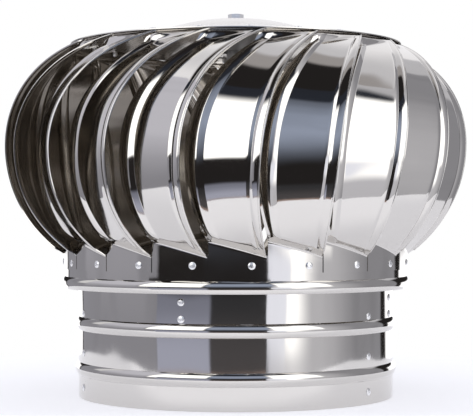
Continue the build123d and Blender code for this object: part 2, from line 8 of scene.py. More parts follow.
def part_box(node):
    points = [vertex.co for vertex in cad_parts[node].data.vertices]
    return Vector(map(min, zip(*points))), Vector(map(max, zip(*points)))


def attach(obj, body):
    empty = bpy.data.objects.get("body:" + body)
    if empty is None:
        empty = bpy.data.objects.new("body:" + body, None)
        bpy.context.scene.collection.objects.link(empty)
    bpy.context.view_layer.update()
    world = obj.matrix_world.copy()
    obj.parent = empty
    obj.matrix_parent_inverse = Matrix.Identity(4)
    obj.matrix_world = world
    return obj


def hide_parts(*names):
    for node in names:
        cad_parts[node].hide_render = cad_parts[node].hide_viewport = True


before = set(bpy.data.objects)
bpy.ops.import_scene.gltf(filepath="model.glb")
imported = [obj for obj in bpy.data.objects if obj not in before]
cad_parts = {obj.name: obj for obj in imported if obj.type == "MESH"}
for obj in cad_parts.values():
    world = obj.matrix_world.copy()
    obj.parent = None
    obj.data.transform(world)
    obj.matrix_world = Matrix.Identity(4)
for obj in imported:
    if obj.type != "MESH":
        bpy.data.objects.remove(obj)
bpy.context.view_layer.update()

# Sizes in metres and angles in degrees. Bearings round the axis are counted
# from the front (-Y) towards +X, as the photograph shows the vent.
MM = 0.001
SHEET = 0.8 * MM

# Neck and head ring
NECK_RADIUS = 150 * MM
NECK_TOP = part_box("neck_tube")[1][2]
NECK_BEADS = (27.5 * MM, 70 * MM)
NECK_BEAD_WIDTH = 12.5 * MM
NECK_BEAD_RISE = 2.8 * MM
RING_RADIUS = 163 * MM
RING_BOTTOM, RING_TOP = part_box("head_ring")[0][2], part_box("head_ring")[1][2]
RING_BEAD_WIDTH = 11.3 * MM
RING_BEAD_RISE = 2.3 * MM
ROUND_SEGMENTS = 240
BEAD_SEGMENTS = 14

# Blades
BLADE_COUNT = 20
BLADE_PITCH = 360 / BLADE_COUNT
FIRST_BLADE = 4.8
TAB_LEFT, TAB_RIGHT = 38 * MM, 13 * MM
TAB_BOTTOM = 121 * MM
FOLD_LEFT_HEIGHT, FOLD_RIGHT_HEIGHT = 148 * MM, 134 * MM
TAB_GAP = 0.05 * MM
WIDEST_RADIUS, WIDEST_HEIGHT = 220 * MM, 237 * MM
FOOT_RADIUS = 163.9 * MM
RIM_RADIUS, RIM_HEIGHT = 157 * MM, 332.5 * MM
LEAST_LEAD, LEAST_LEAD_PLACE = 0.5, -19.8
RIM_LEAD, RIM_LEAD_SHARE = 23.0, 0.57
BLADE_SPAN = 18.7
INSET_FOOT, INSET_WIDEST, INSET_RIM = 8.9 * MM, 25 * MM, 7 * MM
INSET_POWER = 1.6
CLOSE_START, CLOSE_END, CLOSED_INSET = 0.955, 0.985, 1.7 * MM
CREASE_SHARE, CREASE_DIP_SHARE, CREASE_DEPTH = 0.135, 0.065, 1.0 * MM
LIP_CREST_SHARE, LIP_CREST_RISE, LIP_EDGE_DROP = 0.06, 0.2 * MM, 0.35 * MM
FLANGE_SHARE, FLANGE_CREST_SHARE, FLANGE_FOOT_SHARE = 0.2535, 0.148, 0.042
FLANGE_RISE = 2.4 * MM
CREASE_SUPPORT = 0.004
RIB_FADE = 0.08
FOLD_BLEND = 0.08
TAB_ROLL = (1, 1, 1, 1, 1, 1, 0.8, 0.3)
HEM_RADIUS = 0.75 * MM
HEM_START, HEM_STEPS = 0.03, 48

# Crown
CROWN_RADIUS, CROWN_RIM_HEIGHT = 158 * MM, 333.9 * MM
CROWN_SLOPE = 8.1
CROWN_DOME_RADIUS = 76 * MM
CROWN_DOME_MIDDLE = (51 * MM, 353.2 * MM)
CROWN_FLAT_RADIUS, CROWN_FLAT_HEIGHT = 22 * MM, 358 * MM
CROWN_HOLE = 4.05 * MM
TONGUE_START, TONGUE_END = 149 * MM, 135 * MM
TONGUE_WIDTH = 20 * MM
TONGUE_LEAD = 5.0
TONGUE_GAP = 0.1 * MM
COLLAR_LEFT, COLLAR_RIGHT = 157.0 * MM, 157.4 * MM

# Camera, from the photograph's perspective; the frame is 473 x 416 pixels
FRAME_WIDTH, FRAME_HEIGHT = 473, 416
CAMERA_DISTANCE, EYE_HEIGHT = 1.530, 0.165
FOCAL_PIXELS = 1593.8
AXIS_PIXEL_X, HORIZON_PIXEL_Y = 235.8, 222.0
SENSOR_WIDTH = 36.0


def around(radius, bearing, height):
    """Point at a bearing counted from the front."""
    turn = radians(bearing)
    return Vector((radius * sin(turn), -radius * cos(turn), height))


def level_right(bearing):
    """Level direction to the right, seen from outside."""
    return Vector((cos(radians(bearing)), sin(radians(bearing)), 0.0))


# Operators and selection

def start_clean():
    """Leaves edit mode and deselects everything, so that an operator meets only its own piece."""
    if bpy.context.object and bpy.context.object.mode != "OBJECT":
        bpy.ops.object.mode_set(mode="OBJECT")
    bpy.ops.object.select_all(action="DESELECT")


def named(name):
    piece = bpy.context.object
    piece.name = name
    piece.data.name = name
    return piece


def pick_vertices(piece, wanted):
    """Selects the vertices whose index passes the test, in edit mode."""
    mesh = bmesh.from_edit_mesh(piece.data)
    mesh.verts.ensure_lookup_table()
    for vertex in mesh.verts:
        vertex.select_set(wanted(vertex.index))
    mesh.select_flush_mode()
    bmesh.update_edit_mesh(piece.data)


def turn_picked(matrix, pivot):
    """Turns the selection about a pivot by three single turns; a turn's sign is reversed with no window."""
    for axis, angle in zip("XYZ", matrix.to_euler("XYZ")):
        bpy.ops.transform.rotate(value=-angle, orient_axis=axis, orient_type="GLOBAL", center_override=pivot)


def finish_sheet(piece, smooth_levels):
    """Smooths a single-sided sheet, then gives it its thickness on the inner side, which has its own dull
    finish with painted shade.
    """
    for finish in (sheet_finish, mill_and_painted_shade_finish):
        piece.data.materials.append(finish)
    if smooth_levels:
        smooth = piece.modifiers.new("smooth", "SUBSURF")
        smooth.levels = smooth.render_levels = smooth_levels
        bpy.ops.object.modifier_apply(modifier=smooth.name)
    wall = piece.modifiers.new("wall", "SOLIDIFY")
    wall.thickness = SHEET
    wall.offset = -1.0
    wall.use_even_offset = True
    wall.material_offset = 1
    bpy.ops.object.modifier_apply(modifier=wall.name)
    bpy.ops.object.shade_smooth_by_angle(angle=radians(40))


# Turned pieces

def bead_profile(radius, bottom, top, beads, width, rise):
    """Wall line from the bottom to the top, with half-round beads that stand out."""
    half = width / 2
    points = [(radius, bottom)]
    for middle in beads:
        arc = (half * half + rise * rise) / (2 * rise)
        reach = asin(half / arc)
        for i in range(BEAD_SEGMENTS + 1):
            turn = reach * (2 * i / BEAD_SEGMENTS - 1)
            points.append((radius + rise - arc + arc * cos(turn), middle + arc * sin(turn)))
    points.append((radius, top))
    return [p for i, p in enumerate(points) if i == 0 or (Vector(p) - Vector(points[i - 1])).length > 1e-5]


def turned_sheet(name, profile):
    """Extrudes a circle along a profile of radius and height, and gives the wall its thickness."""
    start_clean()
    radius, height = profile[0]
    bpy.ops.mesh.primitive_circle_add(vertices=ROUND_SEGMENTS, radius=radius, location=(0, 0, height))
    piece = named(name)
    bpy.ops.object.transform_apply(location=True, rotation=True, scale=True)
    bpy.ops.object.mode_set(mode="EDIT")
    bpy.ops.mesh.select_all(action="SELECT")
    for next_radius, next_height in profile[1:]:
        bpy.ops.mesh.extrude_edges_move(
            TRANSFORM_OT_translate={"value": (0, 0, next_height - height)}
        )
        ratio = next_radius / radius
        bpy.ops.transform.resize(value=(ratio, ratio, 1), center_override=(0, 0, next_height))
        radius, height = next_radius, next_height
    bpy.ops.mesh.select_all(action="SELECT")
    bpy.ops.mesh.normals_make_consistent(inside=False)
    bpy.ops.object.mode_set(mode="OBJECT")
    finish_sheet(piece, 0)
    return piece


# Blade

LOWER_ARC = ((WIDEST_RADIUS - FOOT_RADIUS) ** 2 + (WIDEST_HEIGHT - FOLD_RIGHT_HEIGHT) ** 2) / (
    2 * (WIDEST_RADIUS - FOOT_RADIUS)
)
UPPER_ARC = ((WIDEST_RADIUS - RIM_RADIUS) ** 2 + (RIM_HEIGHT - WIDEST_HEIGHT) ** 2) / (
    2 * (WIDEST_RADIUS - RIM_RADIUS)
)
FOOT_ANGLE = -degrees(asin((WIDEST_HEIGHT - FOLD_RIGHT_HEIGHT) / LOWER_ARC))
RIM_ANGLE = degrees(asin((RIM_HEIGHT - WIDEST_HEIGHT) / UPPER_ARC))
FOOT_LEFT_ANGLE = -degrees(asin((WIDEST_HEIGHT - FOLD_LEFT_HEIGHT) / (LOWER_ARC - INSET_FOOT)))
TAB_MIDDLE = RING_RADIUS + TAB_GAP + SHEET / 2
FOOT_LEAD = degrees(atan(TAB_RIGHT / TAB_MIDDLE))
TAB_LEFT_LEAD = degrees(atan(TAB_LEFT / TAB_MIDDLE))


def envelope(angle, inset):
    """Radius and height on the two arcs that the blades' free edges follow."""
    arc = UPPER_ARC if angle > 0 else LOWER_ARC
    reach = arc - inset
    return WIDEST_RADIUS - arc + reach * cos(radians(angle)), WIDEST_HEIGHT + reach * sin(radians(angle))


def lead(angle):
    """Bearing of the free edge, past that of the blade's rivet; least a little under the widest place."""
    turn = angle - LEAST_LEAD_PLACE
    if turn < 0:
        return LEAST_LEAD + (FOOT_LEAD - LEAST_LEAD) * (turn / (FOOT_ANGLE - LEAST_LEAD_PLACE)) ** 2
    way = turn / (RIM_ANGLE - LEAST_LEAD_PLACE)
    growth = RIM_LEAD_SHARE * way**2 + (1 - RIM_LEAD_SHARE) * way**4
    return LEAST_LEAD + (RIM_LEAD - LEAST_LEAD) * growth


def inset_at(angle):
    """How far the hidden edge lies inside the envelope."""
    end, end_inset = (RIM_ANGLE, INSET_RIM) if angle > 0 else (FOOT_LEFT_ANGLE, INSET_FOOT)
    return INSET_WIDEST + (end_inset - INSET_WIDEST) * (angle / end) ** INSET_POWER


def tab_point(along, height):
    return Vector((along, -(RING_RADIUS + TAB_GAP + SHEET), height))


FOLD_RIGHT = tab_point(TAB_RIGHT, FOLD_RIGHT_HEIGHT)
FOLD_LEFT = tab_point(-TAB_LEFT, FOLD_LEFT_HEIGHT)


def raw_free_point(share):
    angle = FOOT_ANGLE + share * (RIM_ANGLE - FOOT_ANGLE)
    radius, height = envelope(angle, 0.0)
    return around(radius, lead(angle), height)


def raw_hidden_point(share):
    angle = FOOT_LEFT_ANGLE + share * (RIM_ANGLE - FOOT_LEFT_ANGLE)
    closing = min(max((share - CLOSE_START) / (CLOSE_END - CLOSE_START), 0.0), 1.0)
    closing *= closing * (3 - 2 * closing)
    radius, height = envelope(angle, inset_at(angle) + (CLOSED_INSET - inset_at(angle)) * closing)
    foot_span = lead(FOOT_LEFT_ANGLE) + TAB_LEFT_LEAD
    span = BLADE_SPAN + (foot_span - BLADE_SPAN) * (1 - share) ** 4
    return around(radius, lead(angle) - span, height)


def free_point(share):
    pull = max(0.0, 1 - share / FOLD_BLEND)
    return raw_free_point(share) + (FOLD_RIGHT - raw_free_point(0)) * pull


def hidden_point(share):
    pull = max(0.0, 1 - share / FOLD_BLEND)
    return raw_hidden_point(share) + (FOLD_LEFT - raw_hidden_point(0)) * pull


def rib_fade(share):
    """Rib height along the blade: nothing at the ends, full in between."""
    ease = min(share, 1 - share, RIB_FADE) / RIB_FADE
    return ease * ease * (3 - 2 * ease)


def brim_underside(radius):
    slope = radians(CROWN_SLOPE)
    return CROWN_RIM_HEIGHT - SHEET / cos(slope) + (CROWN_RADIUS - radius) * tan(slope)


def collar_point(radius, bearing):
    """Point just under the crown's brim, where the top of the sheet meets it."""
    return around(radius, bearing, brim_underside(radius) - TONGUE_GAP)


def tongue_row(radius):
    """Left and right ends of a row of the tongue under the crown's brim."""
    bearing = RIM_LEAD - TONGUE_LEAD
    middle = around(radius, bearing, brim_underside(radius) - TONGUE_GAP)
    side = level_right(bearing) * (TONGUE_WIDTH / 2)
    return middle - side, middle + side


def blade_rows():
    """Left end, right end and rib height of each row across the sheet, from the tab to the tongue."""
    rows = []
    foot_left, foot_right = tab_point(-TAB_LEFT, TAB_BOTTOM), tab_point(TAB_RIGHT, TAB_BOTTOM)
    for share in (0.0, 0.04, 0.35, 0.7, 0.94):
        rows.append((foot_left.lerp(FOLD_LEFT, share), foot_right.lerp(FOLD_RIGHT, share), 0.0))
    shares = [0.0, 0.006, 0.02, 0.035, 0.05, 0.065, 0.085]
    shares += [0.11 + 0.0325 * i for i in range(25)]
    shares += [0.915, 0.935, 0.95, 0.958, 0.966, 0.974, 0.982, 0.99, 1.0]
    for share in shares:
        rows.append((hidden_point(share), free_point(share), rib_fade(share)))
    rows.append((collar_point(COLLAR_LEFT, RIM_LEAD - BLADE_SPAN), collar_point(COLLAR_RIGHT, RIM_LEAD), 0.0))
    for radius in (TONGUE_START, TONGUE_START - 0.5 * MM, TONGUE_END + 0.5 * MM, TONGUE_END):
        rows.append((*tongue_row(radius), 0.0))
    return rows


def sheet_height(share):
    """Height of the pressed sheet above its flat, at a share of the width from the free edge."""
    face_start, face_end = CREASE_SHARE + CREASE_DIP_SHARE, 1 - FLANGE_SHARE
    flange_crest, flange_foot = 1 - FLANGE_CREST_SHARE, 1 - FLANGE_FOOT_SHARE
    if share < LIP_CREST_SHARE:
        return LIP_CREST_RISE - (LIP_CREST_RISE + LIP_EDGE_DROP) * (1 - share / LIP_CREST_SHARE) ** 2
    if share < CREASE_SHARE:
        way = (share - LIP_CREST_SHARE) / (CREASE_SHARE - LIP_CREST_SHARE)
        return LIP_CREST_RISE - (LIP_CREST_RISE + CREASE_DEPTH) * way**2
    if share < face_start:
        return -CREASE_DEPTH * (1 - (share - CREASE_SHARE) / CREASE_DIP_SHARE) ** 2
    if share < face_end:
        return 0.0
    if share < flange_crest:
        return FLANGE_RISE * (1 - ((flange_crest - share) / (flange_crest - face_end)) ** 1.5)
    if share < flange_foot:
        return FLANGE_RISE * (1 + cos(pi * (share - flange_crest) / (flange_foot - flange_crest))) / 2
    return 0.0


def blade_columns():
    """Share of the width and height of each column, from the hidden to the free edge, close at the creases."""
    face_start, face_end = CREASE_SHARE + CREASE_DIP_SHARE, 1 - FLANGE_SHARE
    flange_crest = 1 - FLANGE_CREST_SHARE
    shares = [0.0, 0.004]
    shares += [LIP_CREST_SHARE * i / 4 for i in range(1, 4)]
    shares += [LIP_CREST_SHARE + (CREASE_SHARE - LIP_CREST_SHARE) * i / 5 for i in range(5)]
    shares += [CREASE_SHARE - CREASE_SUPPORT, CREASE_SHARE, CREASE_SHARE + CREASE_SUPPORT]
    shares += [CREASE_SHARE + CREASE_DIP_SHARE * i / 5 for i in range(1, 6)]
    shares += [face_start + (face_end - face_start) * i / 9 for i in range(1, 9)]
    shares += [face_end - CREASE_SUPPORT, face_end, face_end + CREASE_SUPPORT]
    shares += [face_end + (flange_crest - face_end) * i / 6 for i in range(1, 7)]
    shares += [flange_crest + (1 - FLANGE_FOOT_SHARE - flange_crest) * i / 6 for i in range(1, 7)]
    shares += [0.98, 0.996, 1.0]
    return [(1 - share, sheet_height(share)) for share in reversed(shares)]


def make_blade():
    """Shapes a grid: the ribs column by column, then each row set in its place on the blade."""
    rows, columns = blade_rows(), blade_columns()
    wide = len(columns)
    start_clean()
    bpy.ops.mesh.primitive_grid_add(x_subdivisions=wide - 1, y_subdivisions=len(rows) - 1, size=1)
    piece = named("blade")
    bpy.ops.object.mode_set(mode="EDIT")
    bpy.ops.mesh.select_mode(type="VERT")
    for i, (share, height) in enumerate(columns):
        pick_vertices(piece, lambda index: index % wide == i)
        bpy.ops.transform.translate(value=(share - i / (wide - 1), 0, height))
    for j, (left, right, rib) in enumerate(rows):
        pick_vertices(piece, lambda index: index // wide == j)
        corner = Vector((-0.5, j / (len(rows) - 1) - 0.5, 0.0))
        chord = (right - left).length
        across = (right - left) / chord
        before, after = rows[max(j - 1, 0)], rows[min(j + 1, len(rows) - 1)]
        travel = (after[0] + after[1]) - (before[0] + before[1])
        along = (travel - across * travel.dot(across)).normalized()
        out = across.cross(along)
        bpy.ops.transform.resize(value=(chord, 1, max(rib, 1e-4)), center_override=corner)
        turn_picked(Matrix((across, along, out)).transposed(), corner)
        bpy.ops.transform.translate(value=left - corner)
    bpy.ops.object.mode_set(mode="OBJECT")
    roll_tab(piece, wide)
    finish_sheet(piece, 1)
    hem = make_hem()
    start_clean()
    hem.select_set(True)
    piece.select_set(True)
    bpy.context.view_layer.objects.active = piece
    bpy.ops.object.join()
    return piece


def roll_tab(piece, wide):
    """Rolls the tab to the ring's round, so that it lies on it over its whole width."""
    group = piece.vertex_groups.new(name="tab")
    for row, weight in enumerate(TAB_ROLL):
        group.add(range(row * wide, (row + 1) * wide), weight, "REPLACE")
    roll = piece.modifiers.new("roll", "CAST")
    roll.cast_type = "CYLINDER"
    roll.use_z = False
    roll.use_radius_as_size = False
    roll.factor = 1.0
    roll.size = RING_RADIUS + TAB_GAP + SHEET
    roll.vertex_group = group.name
    bpy.ops.object.modifier_apply(modifier=roll.name)
    piece.vertex_groups.clear()


def make_hem():
    """Rounded free edge: a thin disc drawn out along the edge."""
    shares = [HEM_START + (1 - HEM_START) * i / HEM_STEPS for i in range(HEM_STEPS + 1)]
    points = []
    for share in shares:
        inward = (hidden_point(share) - free_point(share)).normalized()
        outward = Vector((free_point(share).x, free_point(share).y, 0.0)).normalized()
        drop = LIP_EDGE_DROP * rib_fade(share) + SHEET / 2
        points.append(free_point(share) + inward * HEM_RADIUS - outward * drop)
    travels = [
        (points[min(i + 1, HEM_STEPS)] - points[max(i - 1, 0)]).normalized() for i in range(HEM_STEPS + 1)
    ]
    up = Vector((0, 0, 1))
    start_clean()
    bpy.ops.mesh.primitive_circle_add(
        vertices=10, radius=HEM_RADIUS, fill_type="NGON", location=points[0],
        rotation=up.rotation_difference(travels[0]).to_euler(),
    )
    hem = named("hem")
    bpy.ops.object.transform_apply(location=True, rotation=True, scale=True)
    bpy.ops.object.mode_set(mode="EDIT")
    bpy.ops.mesh.select_all(action="SELECT")
    for i in range(HEM_STEPS):
        bpy.ops.mesh.extrude_region_move(TRANSFORM_OT_translate={"value": points[i + 1] - points[i]})
        turn_picked(travels[i].rotation_difference(travels[i + 1]).to_matrix(), points[i + 1])
    bpy.ops.mesh.select_all(action="SELECT")
    bpy.ops.mesh.normals_make_consistent(inside=False)
    bpy.ops.object.mode_set(mode="OBJECT")
    hem.data.materials.append(sheet_finish)
    bpy.ops.object.shade_smooth_by_angle(angle=radians(50))
    return hem


def turned_copy(source, name, bearing):
    """Copy with its own mesh, turned about the axis."""
    start_clean()
    source.select_set(True)
    bpy.context.view_layer.objects.active = source
    bpy.ops.object.duplicate(linked=False)
    piece = named(name)
    piece.rotation_euler = (0, 0, radians(bearing))
    bpy.ops.object.transform_apply(location=True, rotation=True, scale=True)
    return piece


# Crown

def arc_through(start, middle, end, steps):
    """Points on the circle through three points of a profile."""
    (ax, ay), (bx, by), (cx, cy) = start, middle, end
    d = 2 * (ax * (by - cy) + bx * (cy - ay) + cx * (ay - by))
    ux = ((ax**2 + ay**2) * (by - cy) + (bx**2 + by**2) * (cy - ay) + (cx**2 + cy**2) * (ay - by)) / d
    uy = ((ax**2 + ay**2) * (cx - bx) + (bx**2 + by**2) * (ax - cx) + (cx**2 + cy**2) * (bx - ax)) / d
    centre = Vector((ux, uy))
    first, last = Vector(start) - centre, Vector(end) - centre
    sweep = last.angle_signed(first)
    return [tuple(centre + Matrix.Rotation(sweep * i / steps, 2) @ first) for i in range(steps + 1)]


def crown_profile():
    """From the rim up to the hole for the stud."""
    brim_rise = (CROWN_RADIUS - CROWN_DOME_RADIUS) * tan(radians(CROWN_SLOPE))
    dome_foot = (CROWN_DOME_RADIUS, CROWN_RIM_HEIGHT + brim_rise)
    rim = (CROWN_RADIUS, CROWN_RIM_HEIGHT)
    points = [rim]
    points += [tuple(Vector(rim).lerp(Vector(dome_foot), i / 6)) for i in range(1, 6)]
    points += arc_through(dome_foot, CROWN_DOME_MIDDLE, (CROWN_FLAT_RADIUS, CROWN_FLAT_HEIGHT), 16)
    points += [(CROWN_FLAT_RADIUS * 0.6, CROWN_FLAT_HEIGHT), (CROWN_HOLE, CROWN_FLAT_HEIGHT)]
    return points


# Shader maths

class Value:
    """A node socket that takes part in Python expressions."""

    def __init__(self, tree, socket):
        self.tree, self.socket = tree, socket

    def node(self, kind, settings=None, **sockets):
        """Adds any node: its settings first, then its sockets' values or links. Gives its first output."""
        return add_node(self.tree, kind, settings, **sockets)

    def maths(self, operation, first, second):
        return self.node("ShaderNodeMath", {"operation": operation}, **{"0": first, "1": second})

    def __add__(self, other):
        return self.maths("ADD", self, other)

    def __sub__(self, other):
        return self.maths("SUBTRACT", self, other)

    def __mul__(self, other):
        return self.maths("MULTIPLY", self, other)

    def __truediv__(self, other):
        return self.maths("DIVIDE", self, other)

    def __radd__(self, other):
        return self.maths("ADD", other, self)

    def __rsub__(self, other):
        return self.maths("SUBTRACT", other, self)

    def __rmul__(self, other):
        return self.maths("MULTIPLY", other, self)


def add_node(tree, kind, settings=None, output=0, **sockets):
    node = tree.nodes.new(kind)
    for setting, value in (settings or {}).items():
        setattr(node, setting, value)
    for key, value in sockets.items():
        socket = node.inputs[int(key)] if key.isdigit() else node.inputs[key.replace("_", " ")]
        if isinstance(value, Value):
            tree.links.new(value.socket, socket)
        else:
            socket.default_value = value
    return Value(tree, node.outputs[output])


def new_material(name):
    """Material with an empty tree; gives the material, its tree and its surface socket."""
    material = bpy.data.materials.new(name)
    material.use_nodes = True
    tree = material.node_tree
    tree.nodes.clear()
    output = tree.nodes.new("ShaderNodeOutputMaterial")
    return material, tree, output.inputs["Surface"]


def metal(tree, surface, colour, roughness, **sockets):
    """Bare metal on a material's surface."""
    bare = add_node(
        tree, "ShaderNodeBsdfPrincipled", Base_Color=(*colour, 1), Metallic=1.0, Roughness=roughness, **sockets
    )
    tree.links.new(bare.socket, surface)


def polished_sheet(name, dullness):
    """Polished stainless sheet: slightly uneven, with faint upright rolling lines and soft smears."""
    material, tree, surface = new_material(name)
    place = add_node(tree, "ShaderNodeTexCoord", output="Object")
    drawn = add_node(tree, "ShaderNodeVectorMath", {"operation": "MULTIPLY"}, **{"0": place, "1": (1, 1, 0.03)})
    broad = add_node(tree, "ShaderNodeTexNoise", Vector=place, Scale=9.0, Detail=2.0, Roughness=0.4)
    smear = add_node(tree, "ShaderNodeTexNoise", Vector=place, Scale=55.0, Detail=4.0, Roughness=0.6)
    lines = add_node(tree, "ShaderNodeTexNoise", Vector=drawn, Scale=700.0, Detail=2.0, Roughness=0.5)
    bump = add_node(tree, "ShaderNodeBump", Height=broad, Strength=0.4, Distance=0.006)
    rough = dullness + smear * 0.05 + lines * 0.04
    metal(tree, surface, (0.66, 0.64, 0.615), rough, Normal=bump)
    return material


def shaded_mill_sheet():
    """Inner side of the sheet: dull as it came from the mill, and painted darker and browner to stand for the
    shade inside the head.
    """
    material, tree, surface = new_material("shaded_mill_sheet")
    place = add_node(tree, "ShaderNodeTexCoord", output="Object")
    drawn = add_node(tree, "ShaderNodeVectorMath", {"operation": "MULTIPLY"}, **{"0": place, "1": (1, 1, 0.1)})
    grain = add_node(tree, "ShaderNodeTexNoise", Vector=drawn, Scale=150.0, Detail=2.0, Roughness=0.5)
    # Painted shade: the dark brown base colour stands for the shade inside the head; the roughness is the
    # mill's dull finish.
    metal(tree, surface, (0.41, 0.375, 0.33), 0.15 + grain * 0.05)
    return material


def bright_rivet():
    """Aluminium of the rivets: paler and duller than the sheet."""
    material, tree, surface = new_material("bright_rivet")
    place = add_node(tree, "ShaderNodeTexCoord", output="Object")
    grain = add_node(tree, "ShaderNodeTexNoise", Vector=place, Scale=900.0, Detail=3.0)
    metal(tree, surface, (0.90, 0.90, 0.91), 0.28 + grain * 0.14)
    return material


def plain_steel():
    """Galvanised bars and turned fittings."""
    material, tree, surface = new_material("plain_steel")
    place = add_node(tree, "ShaderNodeTexCoord", output="Object")
    spangle = add_node(tree, "ShaderNodeTexVoronoi", Vector=place, Scale=160.0, output="Distance")
    grain = add_node(tree, "ShaderNodeTexNoise", Vector=place, Scale=420.0, Detail=4.0)
    metal(tree, surface, (0.56, 0.56, 0.57), 0.30 + spangle * 0.12 + grain * 0.08)
    return material


def ground_steel():
    """Ground races and balls of the bearings."""
    material, tree, surface = new_material("ground_steel")
    place = add_node(tree, "ShaderNodeTexCoord", output="Object")
    marks = add_node(tree, "ShaderNodeTexNoise", Vector=place, Scale=1500.0, Detail=3.0)
    metal(tree, surface, (0.62, 0.62, 0.63), 0.10 + marks * 0.10)
    return material


# Pieces

def dress(piece, body, slot, *nodes):
    """Finishes a modelled piece: the body it rides on and the nodes it stands for. The slot is not used."""
    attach(piece, body)
    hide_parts(*nodes)


# The inner side's finish carries painted shade in its darker, browner colour.
sheet_finish, mill_and_painted_shade_finish = polished_sheet("polished_sheet", 0.02), shaded_mill_sheet()
crown_finish = polished_sheet("satin_sheet", 0.20)
rivet_finish, steel_finish, race_finish = bright_rivet(), plain_steel(), ground_steel()

neck = turned_sheet(
    "neck_wall", bead_profile(NECK_RADIUS, 0.0, NECK_TOP, NECK_BEADS, NECK_BEAD_WIDTH, NECK_BEAD_RISE)
)
dress(neck, "neck", "sheet", "neck_tube")

ring = turned_sheet(
    "head_band",
    bead_profile(
        RING_RADIUS, RING_BOTTOM, RING_TOP, (RING_BOTTOM + RING_BEAD_WIDTH / 2,),
        RING_BEAD_WIDTH, RING_BEAD_RISE,
    ),
)
dress(ring, "head", "sheet", "head_ring")

crown = turned_sheet("crown_cap", crown_profile())
crown.data.materials[0] = crown.data.materials[1] = crown_finish
dress(crown, "head", "sheet", "crown")

blade = make_blade()
for number in range(BLADE_COUNT):
    leaf = turned_copy(blade, f"blade_leaf_{number + 1:02d}", FIRST_BLADE + BLADE_PITCH * number)
    dress(leaf, "head", "sheet", f"blade_{number + 1:02d}")
bpy.data.objects.remove(blade)

for name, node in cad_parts.items():
    finish = steel_finish
    if "rivets" in name or name in ("crown_nut", "crown_washer"):
        finish = rivet_finish
    elif "race" in name or "balls" in name:
        finish = race_finish
    node.data.materials.clear()
    node.data.materials.append(finish)


# Stage: a pale round table, soft studio walls that only the metal sees, a white background

WALL_RADIUS, WALL_BOTTOM, WALL_TOP = 0.65, -0.40, 1.05
WALL_BRIGHTNESS = 2.0
TABLE_RADIUS = 0.42
FENCE_RADIUS, FENCE_HEIGHT = 0.365, 0.11
FENCE_LEFT, FENCE_RIGHT = -45.5, 16.5
ROOM = (0.011, 0.010, 0.010)
WHITE = (1.0, 1.0, 1.0)

# Lights and screens on the round wall: bearings from and to and their softness, bottom and its softness,
# top and its softness, colour as a share of the wall's full brightness
WALL_LIGHTS = (
    (-133, -58, 1.5, -0.40, 0.01, 1.2, 0.1, (0.17, 0.17, 0.19)),
    (-70, -45, 1.5, -0.40, 0.01, 0.15, 0.01, (0.17, 0.17, 0.19)),
    (-104, -59, 2, 0.20, 0.20, 1.2, 0.1, (0.36, 0.36, 0.40)),
    (-114, -104, 2, 0.20, 0.03, 0.60, 0.2, (0.45, 0.45, 0.46)),
    (-18, 22, 1.5, 0.22, 0.13, 0.66, 0.30, (0.20, 0.23, 0.30)),
    (57, 117, 1.5, -0.40, 0.01, 1.2, 0.1, (0.17, 0.17, 0.185)),
    (20, 57, 1.5, -0.40, 0.01, 0.35, 0.05, (0.36, 0.36, 0.39)),
    (38, 71, 17, -0.40, 0.01, 1.2, 0.1, (0.33, 0.33, 0.35)),
    (-60, 48, 3, 0.74, 0.03, 1.2, 0.1, (0.014, 0.016, 0.022)),
    (29, 42, 8, 0.0, 0.05, 0.18, 0.02, WHITE),
    (17, 31, 0.8, 0.0, 0.05, 0.13, 0.02, (0.57, 0.585, 0.65)),
    (-58, -19, 1, 0.16, 0.012, 0.74, 0.09, WHITE),
    (23, 57, 1.5, 0.15, 0.03, 0.74, 0.06, WHITE),
    (126, 181, 2, -0.40, 0.01, 0.13, 0.02, (0.85, 0.85, 0.87)),
    (-181, -136, 2, -0.40, 0.01, 0.13, 0.02, (0.85, 0.85, 0.87)),
    (115, 140, 2, 0.34, 0.04, 1.2, 0.1, (0.33, 0.33, 0.35)),
    (-140, -131, 2, 0.34, 0.04, 1.2, 0.1, (0.33, 0.33, 0.35)),
    (138, 181, 2, 0.38, 0.02, 1.2, 0.1, (0.56, 0.56, 0.58)),
    (-181, -138, 2, 0.38, 0.02, 1.2, 0.1, (0.56, 0.56, 0.58)),
)


def soft_step(value, start, end):
    """Nothing at the start, one at the end, smooth in between."""
    settings = {"interpolation_type": "SMOOTHSTEP"}
    return value.node("ShaderNodeMapRange", settings, **{"0": value, "1": start, "2": end, "3": 0.0, "4": 1.0})


def mixed(share, first, second):
    settings = {"data_type": "RGBA"}
    return add_node(share.tree, "ShaderNodeMix", settings, output=2, **{"0": share, "6": first, "7": second})


def only_metal_sees(piece):
    piece.visible_camera = False
    piece.visible_diffuse = False
    piece.visible_shadow = False


def split_place(tree):
    """The place on a piece of the stage, and its three parts."""
    place = add_node(tree, "ShaderNodeTexCoord", output="Object")
    return place, *(add_node(tree, "ShaderNodeSeparateXYZ", output=axis, Vector=place) for axis in "XYZ")


def bearing_at(across, deep):
    """Bearing round the axis in degrees."""
    return across.maths("ARCTAN2", across, 0.0 - deep) * (180 / pi)


def glow(tree, surface, colour, strength):
    lamp = add_node(tree, "ShaderNodeEmission", Color=colour, Strength=strength)
    tree.links.new(lamp.socket, surface)


def studio_walls():
    """Soft-edged lights and screens on a round wall about the vent."""
    material, tree, surface = new_material("studio_walls")
    place, across, deep, height = split_place(tree)
    bearing = bearing_at(across, deep)
    cloud = add_node(tree, "ShaderNodeTexNoise", Vector=place, Scale=7.0, Detail=2.0)
    colour = (*ROOM, 1)
    for start, end, side, bottom, foot, top, head, light in WALL_LIGHTS:
        share = soft_step(bearing, start - side, start + side) * soft_step(bearing, end + side, end - side)
        share = share * soft_step(height, bottom - foot, bottom + foot)
        share = share * soft_step(height, top + head, top - head)
        if light is not WHITE:
            share = share * (0.75 + cloud * 0.5)
        colour = mixed(share, colour, (*light, 1))
    glow(tree, surface, colour, WALL_BRIGHTNESS)
    return material


